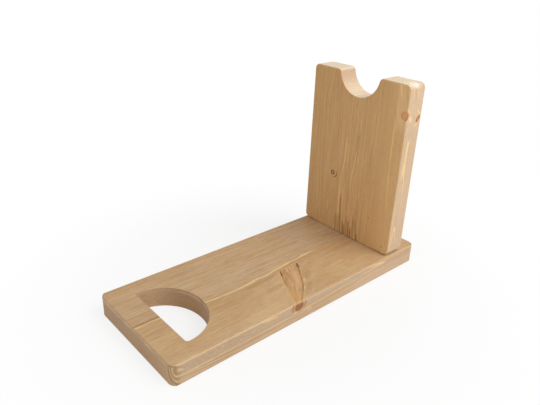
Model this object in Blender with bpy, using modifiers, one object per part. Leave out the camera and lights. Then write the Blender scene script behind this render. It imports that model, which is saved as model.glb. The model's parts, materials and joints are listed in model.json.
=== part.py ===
# Two-board wine holder in solid pine.
# A flat base board has a D-shaped pocket cut through it near its front end.
# An upright board stands on the base near its back end, with a round notch in its top edge.
# Two countersunk wood screws are driven up through the base into the foot of the upright.
# Metres, +Z up. X runs from the pocket end to the upright end and Y across the boards.
# The origin lies on the floor, under the middle of the base board.

import math

import bmesh
import bpy
from mathutils import Matrix

# Base board
base_length = 0.266
base_thick = 0.018
base_corner_radius = 0.006

# Pocket through the base: a straight front wall and a rounded back
pocket_setback = 0.022
pocket_length = 0.036
pocket_width = 0.0732
pocket_corner_radius = 0.0025
cheek_width = 0.0164

# Upright board
upright_thick = 0.0195
upright_height = 0.1552
upright_corner_radius = 0.005
upright_foot_radius = 0.0045
upright_back_margin = 0.021
upright_side_step = 0.001

# Notch in the upright's top edge: its arc is struck from a point just above that edge
notch_radius = 0.0215
notch_centre_rise = 0.0012
notch_lip_radius = 0.004

# Edges: the planed stock is rounded along its grain, and every cut edge is sanded
arris_radius = 0.0018
sanded_edge = 0.0008

# Countersunk wood screws
screw_radius = 0.002
screw_head_margin = 0.002
screw_head_lip = 0.0004
screw_bite = 0.0325
screw_point_length = 0.006
screw_inset = 0.0225
screw_recess = 0.0008

# Clearance between pieces that touch, and the spare length of every cutter
fit_gap = 0.0003
cut_overrun = 0.003

# Facets
arc_steps = 8
pocket_steps = 48
notch_steps = 40
turned_steps = 32
easing_resolution = 1
crease_angle = math.radians(30)

# Sizes that follow from those above
base_width = pocket_width + 2 * cheek_width
base_front = -base_length / 2
base_back = base_length / 2
pocket_front = base_front + pocket_setback
upright_width = base_width - upright_side_step
upright_back = base_back - upright_back_margin
upright_middle = upright_back - upright_thick / 2
upright_centre_y = upright_side_step / 2
upright_foot = base_thick + fit_gap
upright_top = upright_foot + upright_height
screw_offset = upright_width / 2 - screw_inset
screw_head_radius = screw_radius + screw_head_margin
screw_tip = upright_foot + screw_bite
weld_distance = fit_gap / 10

# Planes in which the flat outlines are drawn, each with its third axis along the extrusion
plan_plane = Matrix.Identity(4)
cross_plane = Matrix(((0, 0, 1, 0), (1, 0, 0, 0), (0, 1, 0, 0), (0, 0, 0, 1)))

# Finishes: linear RGB, roughness and metallic value
base_pine = ((0.56, 0.36, 0.19, 1), 0.5, 0)
upright_pine = ((0.50, 0.30, 0.13, 1), 0.5, 0)
bright_zinc = ((0.72, 0.70, 0.64, 1), 0.35, 1)


def clear_scene():
    """Remove whatever the file holds."""
    for item in list(bpy.data.objects):
        bpy.data.objects.remove(item, do_unlink=True)


def new_collection(name):
    """Add an empty collection to the scene."""
    collection = bpy.data.collections.new(name)
    bpy.context.scene.collection.children.link(collection)
    return collection


def new_material(name, finish):
    """Make a plain Principled material."""
    colour, roughness, metallic = finish
    material = bpy.data.materials.new(name)
    material.use_nodes = True
    shader = material.node_tree.nodes["Principled BSDF"]
    shader.inputs["Base Color"].default_value = colour
    shader.inputs["Roughness"].default_value = roughness
    shader.inputs["Metallic"].default_value = metallic
    return material


def arc(centre, radii, start, end, steps):
    """Return points along an arc or a stretch of an ellipse, both ends included."""
    points = []
    for step in range(steps + 1):
        angle = start + (end - start) * step / steps
        x = centre[0] + radii[0] * math.cos(angle)
        y = centre[1] + radii[1] * math.sin(angle)
        points.append((x, y))
    return points


def rounded_rectangle(x_range, y_range, radius):
    """Return the outline of a rectangle whose four corners are rounded."""
    right = x_range[1] - radius
    left = x_range[0] + radius
    top = y_range[1] - radius
    bottom = y_range[0] + radius
    corners = ((right, top), (left, top), (left, bottom), (right, bottom))
    points = []
    for turn, corner in enumerate(corners):
        start = turn * math.pi / 2
        points += arc(corner, (radius, radius), start, start + math.pi / 2, arc_steps)
    return points


def pocket_outline():
    """Return the pocket's D: a straight front wall, small corners and a half-ellipse behind."""
    half_width = pocket_width / 2
    radius = pocket_corner_radius
    widest = pocket_front + radius
    back_radii = (pocket_length - radius, half_width)
    points = arc((widest, 0), back_radii, -math.pi / 2, math.pi / 2, pocket_steps)
    corner_y = half_width - radius
    points += arc((widest, corner_y), (radius, radius), math.pi / 2, math.pi, arc_steps)[1:]
    points += arc((widest, -corner_y), (radius, radius), math.pi, 1.5 * math.pi, arc_steps)[:-1]
    return points


def upright_outline():
    """Return the upright's face: four rounded corners and the notch with its rounded lips."""
    half_width = upright_width / 2
    radius = upright_corner_radius
    foot = upright_foot_radius
    lip = notch_lip_radius
    foot_centre = (half_width - foot, upright_foot + foot)
    corner_y = half_width - radius
    corner_z = upright_top - radius
    notch_z = upright_top + notch_centre_rise
    lip_z = upright_top - lip
    drop = notch_z - lip_z
    lip_y = math.sqrt((notch_radius + lip) ** 2 - drop ** 2)
    meeting = math.atan2(drop, lip_y)
    right = arc(foot_centre, (foot, foot), -math.pi / 2, 0, arc_steps)
    right += arc((corner_y, corner_z), (radius, radius), 0, math.pi / 2, arc_steps)
    right += arc((lip_y, lip_z), (lip, lip), math.pi / 2, math.pi - meeting, arc_steps)
    left = [(-y, z) for y, z in reversed(right)]
    bowl = arc((0, notch_z), (notch_radius, notch_radius), -meeting, meeting - math.pi, notch_steps)
    return right + bowl[1:-1] + left


def prism(name, outlines, plane, span, easing, collection):
    """Make a closed mesh by extruding flat outlines along their plane's third axis.

    An outer outline runs anticlockwise and a hole in it clockwise. Easing rounds off the rims.
    """
    curve = bpy.data.curves.new(name, "CURVE")
    curve.dimensions = "2D"
    curve.fill_mode = "BOTH"
    curve.extrude = (span[1] - span[0]) / 2 - easing
    curve.bevel_depth = easing
    curve.bevel_resolution = easing_resolution
    curve.offset = -easing
    for outline in outlines:
        spline = curve.splines.new("POLY")
        spline.points.add(len(outline) - 1)
        for point, (x, y) in zip(spline.points, outline):
            point.co = (x, y, 0, 1)
        spline.use_cyclic_u = True
    drawing = bpy.data.objects.new(name, curve)
    collection.objects.link(drawing)
    drawing.matrix_world = plane @ Matrix.Translation((0, 0, sum(span) / 2))
    return curve_to_mesh(drawing, collection)


def curve_to_mesh(drawing, collection):
    """Replace a curve object by a mesh object in the same place, with its caps welded on."""
    name = drawing.name
    depsgraph = bpy.context.evaluated_depsgraph_get()
    mesh = bpy.data.meshes.new_from_object(drawing.evaluated_get(depsgraph))
    place = drawing.matrix_world.copy()
    bpy.data.objects.remove(drawing, do_unlink=True)
    shape = bmesh.new()
    shape.from_mesh(mesh)
    bmesh.ops.remove_doubles(shape, verts=shape.verts, dist=weld_distance)
    bmesh.ops.recalc_face_normals(shape, faces=shape.faces)
    shape.to_mesh(mesh)
    shape.free()
    solid = bpy.data.objects.new(name, mesh)
    solid.matrix_world = place
    collection.objects.link(solid)
    return solid


def turned(name, profile, place, collection):
    """Turn a profile of radii and heights about an upright axis at the given place."""
    mesh = bpy.data.meshes.new(name)
    points = [(radius, 0, height) for radius, height in profile]
    edges = [(index, index + 1) for index in range(len(points) - 1)]
    mesh.from_pydata(points, edges, [])
    solid = bpy.data.objects.new(name, mesh)
    solid.location = place
    collection.objects.link(solid)
    spin = solid.modifiers.new("turn", "SCREW")
    spin.steps = turned_steps
    spin.render_steps = turned_steps
    spin.use_merge_vertices = True
    spin.merge_threshold = weld_distance
    spin.use_smooth_shade = True
    return solid


def screw_profile(gap, start):
    """Return a screw's outer profile from its point down to its head, grown by a gap."""
    head_top = screw_recess + screw_head_lip + gap / 2
    neck = head_top + screw_head_margin
    shoulder = screw_tip - screw_point_length
    return [
        (0, screw_tip + gap),
        (screw_radius + gap, shoulder),
        (screw_radius + gap, neck),
        (screw_head_radius + gap, head_top),
        (screw_head_radius + gap, start),
        (0, start),
    ]


def as_cutter(cutter):
    """Show a cutter as wire and keep it out of renders."""
    cutter.hide_render = True
    cutter.display_type = "WIRE"
    return cutter


def combine(solid, operation, cutter):
    """Cut or trim a solid with a cutter."""
    boolean = solid.modifiers.new(cutter.name, "BOOLEAN")
    boolean.operation = operation
    boolean.solver = "EXACT"
    boolean.object = cutter


def complete(solid, material):
    """Turn the modifiers into the solid's own mesh, shade it and give it its material."""
    depsgraph = bpy.context.evaluated_depsgraph_get()
    mesh = bpy.data.meshes.new_from_object(solid.evaluated_get(depsgraph))
    mesh.name = solid.name
    solid.modifiers.clear()
    solid.data = mesh
    mesh.shade_smooth()
    mesh.set_sharp_from_angle(angle=crease_angle)
    mesh.materials.clear()
    mesh.materials.append(material)


def build_base(screw_holes, parts, cutters):
    """Make the base board from its plan with the pocket, its planed section and the screw holes."""
    half_width = base_width / 2
    plan = rounded_rectangle((base_front, base_back), (-half_width, half_width), base_corner_radius)
    section = rounded_rectangle((-half_width, half_width), (0, base_thick), arris_radius)
    stock_span = (base_front - cut_overrun, base_back + cut_overrun)
    outlines = [plan, pocket_outline()[::-1]]
    board = prism("base_board", outlines, plan_plane, (0, base_thick), sanded_edge, parts)
    stock = as_cutter(prism("base_stock", [section], cross_plane, stock_span, 0, cutters))
    combine(board, "INTERSECT", stock)
    for hole in screw_holes:
        combine(board, "DIFFERENCE", hole)
    complete(board, new_material("base_pine", base_pine))


def build_upright(screw_holes, parts, cutters):
    """Make the upright board from its notched face, its planed section and the screw holes."""
    half_width = upright_width / 2
    thick_span = (upright_back - upright_thick, upright_back)
    width_span = (upright_centre_y - half_width, upright_centre_y + half_width)
    section = rounded_rectangle(thick_span, width_span, arris_radius)
    stock_span = (upright_foot - cut_overrun, upright_top + cut_overrun)
    face = [(upright_centre_y + y, z) for y, z in upright_outline()]
    board = prism("upright_board", [face], cross_plane, thick_span, sanded_edge, parts)
    stock = as_cutter(prism("upright_stock", [section], plan_plane, stock_span, 0, cutters))
    combine(board, "INTERSECT", stock)
    for hole in screw_holes:
        combine(board, "DIFFERENCE", hole)
    complete(board, new_material("upright_pine", upright_pine))


def build_holder():
    """Make the four pieces in their collection, and the cutters in theirs."""
    clear_scene()
    parts = new_collection("wine_bottle_holder")
    cutters = new_collection("cutters")
    sides = {"screw_near": -screw_offset, "screw_far": screw_offset}
    screw_holes = []
    for name, offset in sides.items():
        place = (upright_middle, upright_centre_y + offset, 0)
        hole = turned(name + "_hole", screw_profile(fit_gap, -cut_overrun), place, cutters)
        screw_holes.append(as_cutter(hole))
        screw = turned(name, screw_profile(0, screw_recess), place, parts)
        complete(screw, new_material(name + "_zinc", bright_zinc))
    build_base(screw_holes, parts, cutters)
    build_upright(screw_holes, parts, cutters)


build_holder()
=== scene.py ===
"""Looks of the pine holder: two stained and sanded boards, and the two screws that join them."""

import json
import math
from types import SimpleNamespace

import bmesh
import bpy
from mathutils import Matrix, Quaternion, Vector

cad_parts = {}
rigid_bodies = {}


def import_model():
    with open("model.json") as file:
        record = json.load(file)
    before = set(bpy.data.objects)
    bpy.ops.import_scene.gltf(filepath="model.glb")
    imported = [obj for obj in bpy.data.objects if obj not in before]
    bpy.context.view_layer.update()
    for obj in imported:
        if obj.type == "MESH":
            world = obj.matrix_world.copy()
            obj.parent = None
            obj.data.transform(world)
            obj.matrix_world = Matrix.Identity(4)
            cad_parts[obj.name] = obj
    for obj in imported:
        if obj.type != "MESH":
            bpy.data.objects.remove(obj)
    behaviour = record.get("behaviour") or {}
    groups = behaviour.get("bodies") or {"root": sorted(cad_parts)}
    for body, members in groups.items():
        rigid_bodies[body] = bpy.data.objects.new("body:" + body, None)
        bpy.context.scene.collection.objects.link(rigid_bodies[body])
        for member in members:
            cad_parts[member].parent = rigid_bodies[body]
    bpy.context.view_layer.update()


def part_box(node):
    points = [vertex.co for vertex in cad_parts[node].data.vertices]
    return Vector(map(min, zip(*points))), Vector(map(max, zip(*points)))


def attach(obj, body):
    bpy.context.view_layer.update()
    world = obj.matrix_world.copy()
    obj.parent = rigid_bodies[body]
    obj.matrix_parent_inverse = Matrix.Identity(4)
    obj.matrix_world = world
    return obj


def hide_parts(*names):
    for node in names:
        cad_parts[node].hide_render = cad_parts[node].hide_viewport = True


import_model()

MM = 0.001

# Sizes of the boards' cuts, in millimetres
plan_corner = 6.0
base_arris = 1.8
upright_arris = 1.2
sanded_edge = 0.8
pocket_front = -111.0
pocket_widest = -108.5
pocket_back = -75.0
pocket_half_width = 36.6
pocket_corner = 2.5
top_corner = 5.0
foot_corner = 4.5
foot_flat = 26.0
foot_relief = 0.5
notch_radius = 21.5
notch_rise = 1.2
notch_lip = 4.0
overrun = 2.0

# Drying cracks at the wide end of the base's spike knot: centre, turn, length, width and depth
knot_cracks = (
    ((-1.7, -13.9, 18.0), 58.0, 2.7, 0.45, 0.8),
    ((18.7, -12.2, 18.0), 65.0, 1.4, 0.5, 0.5),
)

# Sizes of the screws and their holes, in millimetres
screw_play = 0.3
hole_tip = 6.0
head_rim = 0.4
head_chamfer = 0.25
smooth_shank = 1.7
neck_blend = 0.5
neck_rise = 0.4
shank_overlap = 3.0
shank_taper = 0.6
thread_root = 1.35
thread_crest = 2.0
thread_pitch = 1.8
thread_start = 15.0
thread_foot = 0.6
thread_full = 3.4
thread_play = 0.1
tip_length = 6.4
tip_radius = 0.12
recess_half = (2.25, 0.42, 1.3)
recess_narrowing = (0.45, 0.7)
recess_overrun = 0.3

# How finely the curves are cut, and the distances too small to count, in millimetres
arris_steps = 6
corner_steps = 16
easing_steps = 3
notch_steps = 64
lip_steps = 10
pocket_steps = 80
pocket_corner_steps = 8
lathe_steps = 48
thread_steps = 32
merge_gap = 0.002
off_straight = 0.0001
same_level = 0.01
rim_margin = 0.1


def clear_selection():
    """Leaves nothing selected, so that an operator acts on the new piece alone."""
    for thing in bpy.context.view_layer.objects:
        thing.select_set(False)


def take(piece):
    """Makes one piece the selected and active one."""
    clear_selection()
    piece.select_set(True)
    bpy.context.view_layer.objects.active = piece


def settle(piece):
    """Puts the piece's place into its mesh."""
    take(piece)
    bpy.ops.object.transform_apply(location=True, rotation=True, scale=True)


def new_block(name, low, high):
    """A plain block between two corners, in metres."""
    clear_selection()
    bpy.ops.mesh.primitive_cube_add(size=1.0, location=(low + high) / 2)
    block = bpy.context.active_object
    block.name = name
    block.scale = high - low
    settle(block)
    return block


def new_ring(name, points, fill="NOTHING"):
    """A closed ring of edges through these points, in metres, or one flat face inside it."""
    clear_selection()
    bpy.ops.mesh.primitive_circle_add(vertices=len(points), radius=1.0, fill_type=fill)
    ring = bpy.context.active_object
    ring.name = name
    for corner, point in zip(ring.data.vertices, points):
        corner.co = point
    return ring


def choose(piece, kind, test):
    """Opens the piece for editing with only the vertices, edges or faces that pass the test selected."""
    take(piece)
    bpy.ops.object.mode_set(mode="EDIT")
    bpy.ops.mesh.select_mode(type=kind)
    bpy.ops.mesh.select_all(action="DESELECT")
    mesh = bmesh.from_edit_mesh(piece.data)
    parts = {"VERT": mesh.verts, "EDGE": mesh.edges, "FACE": mesh.faces}[kind]
    for part in parts:
        if test(part):
            part.select_set(True)
    mesh.select_flush_mode()
    bmesh.update_edit_mesh(piece.data)


def close_edit():
    """Goes back to the finished mesh."""
    bpy.ops.object.mode_set(mode="OBJECT")


def face_outwards(piece):
    """Merges doubles, then turns every face outwards."""
    choose(piece, "VERT", lambda part: True)
    bpy.ops.mesh.remove_doubles(threshold=merge_gap * MM)
    bpy.ops.mesh.normals_make_consistent(inside=False)
    close_edit()


def new_slab(name, points, push):
    """A closed slab: a flat outline, pulled out along push."""
    slab = new_ring(name, points, "NGON")
    choose(slab, "FACE", lambda part: True)
    bpy.ops.mesh.extrude_region_move(TRANSFORM_OT_translate={"value": push})
    close_edit()
    face_outwards(slab)
    return slab


def round_edges(piece, test, size, steps):
    """Rounds the edges that pass the test, to a radius in millimetres."""
    choose(piece, "EDGE", test)
    bpy.ops.mesh.bevel(offset=size * MM, segments=steps, profile=0.5, affect="EDGES", clamp_overlap=False)
    close_edit()


def runs_along(edge, axis):
    """Whether an edge runs along one of the three axes."""
    run = edge.verts[0].co - edge.verts[1].co
    return abs(abs(run[axis]) - run.length) < off_straight * MM


def lies_at(edge, axis, *values):
    """Whether both ends of an edge are at one of these heights along an axis."""
    ends = [end.co[axis] for end in edge.verts]
    return any(all(abs(end - value) < same_level * MM for end in ends) for value in values)


def work(piece, tool, operation):
    """Joins, cuts or trims the piece with a tool solid, which is then put away."""
    take(piece)
    modifier = piece.modifiers.new("cut", "BOOLEAN")
    modifier.operation = operation
    modifier.solver = "EXACT"
    modifier.object = tool
    bpy.ops.object.modifier_apply(modifier=modifier.name)
    bpy.data.objects.remove(tool)
    face_outwards(piece)


def finish_surface(piece, angle):
    """Smooths the rounded edges and keeps the flats flat."""
    take(piece)
    bpy.ops.object.shade_smooth_by_angle(angle=math.radians(angle))
    modifier = piece.modifiers.new("flats", "WEIGHTED_NORMAL")
    modifier.keep_sharp = True
    modifier.weight = 100
    bpy.ops.object.modifier_apply(modifier=modifier.name)


def arc_points(centre, radius, start, end, steps):
    """Points along an arc, in degrees, in the plane of the outline."""
    points = []
    for step in range(steps + 1):
        angle = math.radians(start + (end - start) * step / steps)
        points.append((centre[0] + radius * math.cos(angle), centre[1] + radius * math.sin(angle)))
    return points


def base_outline(low, high):
    """Plan of the base board, in millimetres."""
    right = high[0] - plan_corner
    left = low[0] + plan_corner
    far = high[1] - plan_corner
    near = low[1] + plan_corner
    points = []
    for quarter, centre in enumerate(((right, far), (left, far), (left, near), (right, near))):
        points += arc_points(centre, plan_corner, 90 * quarter, 90 * quarter + 90, corner_steps)
    return points


def pocket_outline():
    """Plan of the pocket: a straight front wall and a half oval behind it, in millimetres."""
    depth = pocket_back - pocket_widest
    points = []
    for step in range(pocket_steps + 1):
        angle = math.pi * (step / pocket_steps - 0.5)
        points.append((pocket_widest + depth * math.cos(angle), pocket_half_width * math.sin(angle)))
    side = pocket_half_width - pocket_corner
    points += arc_points((pocket_widest, side), pocket_corner, 90, 180, pocket_corner_steps)[1:]
    points += arc_points((pocket_widest, -side), pocket_corner, 180, 270, pocket_corner_steps)[:-1]
    return points


def upright_outline(low, high):
    """Front view of the upright with its notch, as y and z in millimetres."""
    middle = (low[0] + high[0]) / 2
    top = high[1]
    notch_centre = (middle, top + notch_rise)
    lip_height = top - notch_lip
    reach = notch_radius + notch_lip
    lip_side = math.sqrt(reach**2 - (notch_centre[1] - lip_height) ** 2)
    meet = math.degrees(math.atan2(notch_centre[1] - lip_height, lip_side))
    r = top_corner
    foot = foot_corner
    raised = low[1] + foot_relief + foot
    points = arc_points((low[0] + foot, raised), foot, 180, 270, corner_steps)
    points += [(middle - foot_flat, low[1]), (middle + foot_flat, low[1])]
    points += arc_points((high[0] - foot, raised), foot, 270, 360, corner_steps)
    points += arc_points((high[0] - r, top - r), r, 0, 90, corner_steps)
    points += arc_points((middle + lip_side, lip_height), notch_lip, 90, 180 - meet, lip_steps)
    points += arc_points(notch_centre, notch_radius, -meet, meet - 180, notch_steps)[1:-1]
    points += arc_points((middle - lip_side, lip_height), notch_lip, meet, 90, lip_steps)
    points += arc_points((low[0] + r, top - r), r, 90, 180, corner_steps)
    return points


def planed_stock(name, low, high, axis, arris):
    """A planed board with its four long arrises rounded."""
    stock = new_block(name, low, high)
    round_edges(stock, lambda edge: runs_along(edge, axis), arris, arris_steps)
    return stock


def turned(name, profile, centre):
    """A solid turned round an upright axis, from (radius, height) points in millimetres."""
    points = [(centre[0] + radius * MM, centre[1], height * MM) for radius, height in profile]
    piece = new_ring(name, points)
    choose(piece, "EDGE", lambda part: True)
    axis_foot = (centre[0], centre[1], 0)
    bpy.ops.mesh.spin(steps=lathe_steps, angle=math.tau, center=axis_foot, axis=(0, 0, 1))
    close_edit()
    face_outwards(piece)
    return piece


def drill_screw_holes(board):
    """The countersunk holes of both screws, with a little play round them."""
    for node in ("screw_near", "screw_far"):
        low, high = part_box(node)
        head = (high.x - low.x) / 2 / MM + screw_play
        shank = thread_crest + screw_play
        lip = low.z / MM + head_rim
        top = high.z / MM + screw_play
        profile = [
            (0.0, -overrun),
            (head, -overrun),
            (head, lip),
            (shank, lip + head - shank),
            (shank, top - hole_tip),
            (0.0, top),
        ]
        work(board, turned("hole_cutter", profile, (low + high) / 2), "DIFFERENCE")


def knot_check(name, centre, turn, length, width, depth):
    """A cutter for a short drying crack, a thin lens laid into the face."""
    clear_selection()
    bpy.ops.mesh.primitive_uv_sphere_add(segments=20, ring_count=12, radius=1.0)
    lens = bpy.context.active_object
    lens.name = name
    lens.scale = (length * MM, width * MM, depth * MM)
    lens.rotation_euler = (0, 0, math.radians(turn))
    lens.location = Vector(centre) * MM
    settle(lens)
    return lens


def on_pocket_rim(edge):
    """Whether an edge of the base board runs round the pocket, above or below."""
    low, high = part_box("base_board")
    inside = all(
        pocket_front - rim_margin < end.co.x / MM < pocket_back + rim_margin
        and abs(end.co.y / MM) < pocket_half_width + rim_margin
        for end in edge.verts
    )
    return inside and lies_at(edge, 2, low.z, high.z)


def make_base():
    """The base board, with its pocket and the holes for the screws."""
    low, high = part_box("base_board")
    outline = [(x * MM, y * MM, low.z) for x, y in base_outline(low / MM, high / MM)]
    board = new_slab("base_board_pine", outline, (0, 0, high.z - low.z))
    round_edges(board, lambda edge: not runs_along(edge, 2), sanded_edge, easing_steps)
    work(board, planed_stock("planed_base", low, high, 0, base_arris), "INTERSECT")
    floor = low.z - overrun * MM
    outline = [(x * MM, y * MM, floor) for x, y in pocket_outline()]
    pocket = new_slab("pocket_cutter", outline, (0, 0, high.z - low.z + 2 * overrun * MM))
    work(board, pocket, "DIFFERENCE")
    round_edges(board, on_pocket_rim, sanded_edge, easing_steps)
    drill_screw_holes(board)
    for crack in knot_cracks:
        work(board, knot_check("crack_cutter", *crack), "DIFFERENCE")
    finish_surface(board, 35)
    return board


def make_upright():
    """The upright board, with its notch."""
    low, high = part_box("upright_board")
    outline = upright_outline((low.y / MM, low.z / MM), (high.y / MM, high.z / MM))
    points = [(low.x, y * MM, z * MM) for y, z in outline]
    board = new_slab("upright_board_pine", points, (high.x - low.x, 0, 0))
    round_edges(board, lambda edge: lies_at(edge, 0, low.x, high.x), sanded_edge, easing_steps)
    work(board, planed_stock("planed_upright", low, high, 2, upright_arris), "INTERSECT")
    drill_screw_holes(board)
    finish_surface(board, 35)
    return board


# Section of the thread's ridge: radius in millimetres, and height as a share of the pitch
ridge_section = (
    (thread_root, 0.0),
    (thread_root, 0.34),
    (thread_crest, 0.62),
    (thread_crest, 0.72),
    (thread_root, 1.0),
)


def make_thread(centre, start, end):
    """A closed thread, one turned ridge wound up the shank."""
    points = [(radius * MM, 0, (start + share * thread_pitch) * MM) for radius, share in ridge_section]
    ridge = new_ring("thread", points)
    ends = {0, len(ridge_section) - 1}
    choose(ridge, "EDGE", lambda edge: ends == {corner.index for corner in edge.verts})
    bpy.ops.mesh.delete(type="EDGE_FACE")
    close_edit()
    modifier = ridge.modifiers.new("wind", "SCREW")
    modifier.axis = "Z"
    modifier.steps = thread_steps
    modifier.render_steps = thread_steps
    modifier.screw_offset = thread_pitch * MM
    modifier.iterations = math.ceil((end - start) / thread_pitch) + 1
    modifier.use_merge_vertices = True
    modifier.merge_threshold = merge_gap * MM
    take(ridge)
    bpy.ops.object.modifier_apply(modifier=modifier.name)
    choose(ridge, "VERT", lambda part: True)
    bpy.ops.mesh.remove_doubles(threshold=merge_gap * MM)
    bpy.ops.mesh.select_all(action="DESELECT")
    bpy.ops.mesh.select_non_manifold()
    bpy.ops.mesh.edge_face_add()
    close_edit()
    for corner in ridge.data.vertices:
        corner.co.x += centre[0]
        corner.co.y += centre[1]
    face_outwards(ridge)
    return ridge


def recess_blade(name, centre, bottom, turn):
    """One blade of the driver recess, narrower where it is deeper."""
    half = Vector(recess_half) * MM
    blade = new_block(name, -half, half)
    for corner in blade.data.vertices:
        if corner.co.z > 0:
            corner.co.x *= recess_narrowing[0]
            corner.co.y *= recess_narrowing[1]
    blade.rotation_euler = (0, 0, math.radians(turn))
    blade.location = (centre[0], centre[1], bottom + half.z - recess_overrun * MM)
    settle(blade)
    return blade


def make_screw(node, turn):
    """A countersunk wood screw, driven up from under the base."""
    low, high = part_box(node)
    centre = (low + high) / 2
    bottom = low.z / MM
    top = high.z / MM
    head = (high.x - low.x) / 2 / MM
    neck = bottom + head_rim + head - smooth_shank
    shank_end = thread_start + shank_overlap
    profile = [
        (0.0, bottom),
        (head - head_chamfer, bottom),
        (head, bottom + head_rim / 2),
        (head, bottom + head_rim),
        (smooth_shank + neck_blend, neck - neck_blend),
        (smooth_shank, neck + neck_rise),
        (smooth_shank, shank_end - shank_taper),
        (smooth_shank - neck_blend, shank_end),
        (0.0, shank_end),
    ]
    screw = turned(node + "_zinc", profile, centre)
    thread = make_thread(centre, thread_start, top)
    envelope = [
        (0.0, thread_start + thread_foot),
        (thread_root, thread_start + thread_foot),
        (thread_crest + thread_play, thread_start + thread_full),
        (thread_crest + thread_play, top - tip_length),
        (tip_radius, top),
        (0.0, top),
    ]
    work(thread, turned("envelope", envelope, centre), "INTERSECT")
    work(screw, thread, "UNION")
    for quarter in (0, 90):
        work(screw, recess_blade("blade", centre, low.z, turn + quarter), "DIFFERENCE")
    finish_surface(screw, 40)
    return screw


# Short ways to wire a material


class Wired:
    """A number, vector or colour that changes over a surface. A sum with it adds the node for that sum."""

    def __init__(self, socket):
        self.socket = socket
        self.tree = socket.id_data
        self.is_vector = socket.type == "VECTOR"

    def __add__(self, other):
        return calc("ADD", self, other)

    def __radd__(self, other):
        return calc("ADD", other, self)

    def __sub__(self, other):
        return calc("SUBTRACT", self, other)

    def __rsub__(self, other):
        return calc("SUBTRACT", other, self)

    def __mul__(self, other):
        return calc("MULTIPLY", self, other)

    def __truediv__(self, other):
        return calc("DIVIDE", self, other)

    def __rtruediv__(self, other):
        return calc("DIVIDE", other, self)

    def __abs__(self):
        return calc("ABSOLUTE", self)


def join(socket, value):
    """Feeds a socket from what is wired, or sets it to a plain value."""
    if isinstance(value, Wired):
        value.tree.links.new(value.socket, socket)
    else:
        socket.default_value = value


def new_node(tree, kind, *values, **settings):
    """A node with its settings, and its inputs fed in their order."""
    node = tree.nodes.new("ShaderNode" + kind)
    for setting, choice in settings.items():
        setattr(node, setting, choice)
    for socket, value in zip(node.inputs, values):
        join(socket, value)
    return node


def calc(operation, *values):
    """One sum, on vectors where one of the values is a vector."""
    wired = [value for value in values if isinstance(value, Wired)]
    if any(value.is_vector for value in wired):
        node = new_node(wired[0].tree, "VectorMath", *values, operation=operation)
        return Wired(node.outputs["Value" if operation in ("DOT_PRODUCT", "LENGTH") else "Vector"])
    return Wired(new_node(wired[0].tree, "Math", *values, operation=operation).outputs[0])


def stretch(vector, amount):
    """A vector times one number that changes over the surface."""
    node = new_node(amount.tree, "VectorMath", vector, operation="SCALE")
    join(node.inputs["Scale"], amount)
    return Wired(node.outputs["Vector"])


def fade(value, start, end, low=0.0, high=1.0):
    """A soft step from low at start to high at end, which may be on either side of it."""
    node = new_node(value.tree, "MapRange", value, start, end, low, high, interpolation_type="SMOOTHSTEP")
    return Wired(node.outputs["Result"])


def mottle(vector, along, across, detail=2.0, roughness=0.5):
    """Soft noise from 0 to 1, with its spots per millimetre along the grain and across it."""
    node = new_node(vector.tree, "TexNoise", vector * (along, across, across))
    node.inputs["Scale"].default_value = 1.0
    node.inputs["Detail"].default_value = detail
    node.inputs["Roughness"].default_value = roughness
    return Wired(node.outputs["Fac"])


def tint(amount, first, second):
    """Mixes a second colour into a first by an amount."""
    node = new_node(amount.tree, "Mix", amount, data_type="RGBA")
    join(node.inputs[6], first)
    join(node.inputs[7], second)
    return Wired(node.outputs[2])


def lay(colour, amount, paint, strength=1.0):
    """Lays one paint over a colour where the amount says."""
    return tint(amount * strength if strength != 1.0 else amount, colour, paint)


def ramp(value, stops):
    """A run of colours along a value from 0 to 1."""
    node = new_node(value.tree, "ValToRGB", value)
    band = node.color_ramp
    band.elements[0].position, band.elements[0].color = stops[0]
    band.elements[1].position, band.elements[1].color = stops[-1]
    for position, colour in stops[1:-1]:
        band.elements.new(position).color = colour
    return Wired(node.outputs[0])


def curve(value, points, handles="VECTOR"):
    """A drawn curve through points from 0 to 1, straight between them unless asked otherwise."""
    node = new_node(value.tree, "FloatCurve")
    line = node.mapping.curves[0]
    line.points[0].location = points[0]
    line.points[1].location = points[-1]
    for point in points[1:-1]:
        line.points.new(*point)
    for point in line.points:
        point.handle_type = handles
    node.mapping.update()
    join(node.inputs["Value"], value)
    return Wired(node.outputs[0])


def drawn_line(along, points):
    """A length that changes along the board, through given points of place and length."""
    start = points[0][0]
    end = points[-1][0]
    low = min(length for spot, length in points)
    high = max(length for spot, length in points)
    shares = [((spot - start) / (end - start), (length - low) / (high - low)) for spot, length in points]
    return curve((along - start) / (end - start), shares, "AUTO") * (high - low) + low


def parts_of(vector):
    """The three parts of a vector."""
    return [Wired(part) for part in new_node(vector.tree, "SeparateXYZ", vector).outputs]


def length_of(vector):
    """How long a vector is."""
    return calc("LENGTH", vector)


def largest(first, *others):
    """The largest of some numbers."""
    for other in others:
        first = calc("MAXIMUM", first, other)
    return first


def shade(red, green, blue):
    """A colour as a screen shows it, from 0 to 255, turned into the light that a shader mixes."""
    light = []
    for part in (red, green, blue):
        share = part / 255
        light.append(share / 12.92 if share <= 0.04045 else ((share + 0.055) / 1.055) ** 2.4)
    return (*light, 1.0)


def new_group(name, vectors, numbers=()):
    """An empty node group, followed by its named inputs as they arrive inside it."""
    group = bpy.data.node_groups.new(name, "ShaderNodeTree")
    for kind, labels in (("NodeSocketVector", vectors), ("NodeSocketFloat", numbers)):
        for label in labels:
            group.interface.new_socket(name=label, in_out="INPUT", socket_type=kind)
    arriving = group.nodes.new("NodeGroupInput").outputs
    return group, *[Wired(arriving[label]) for label in (*vectors, *numbers)]


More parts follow.
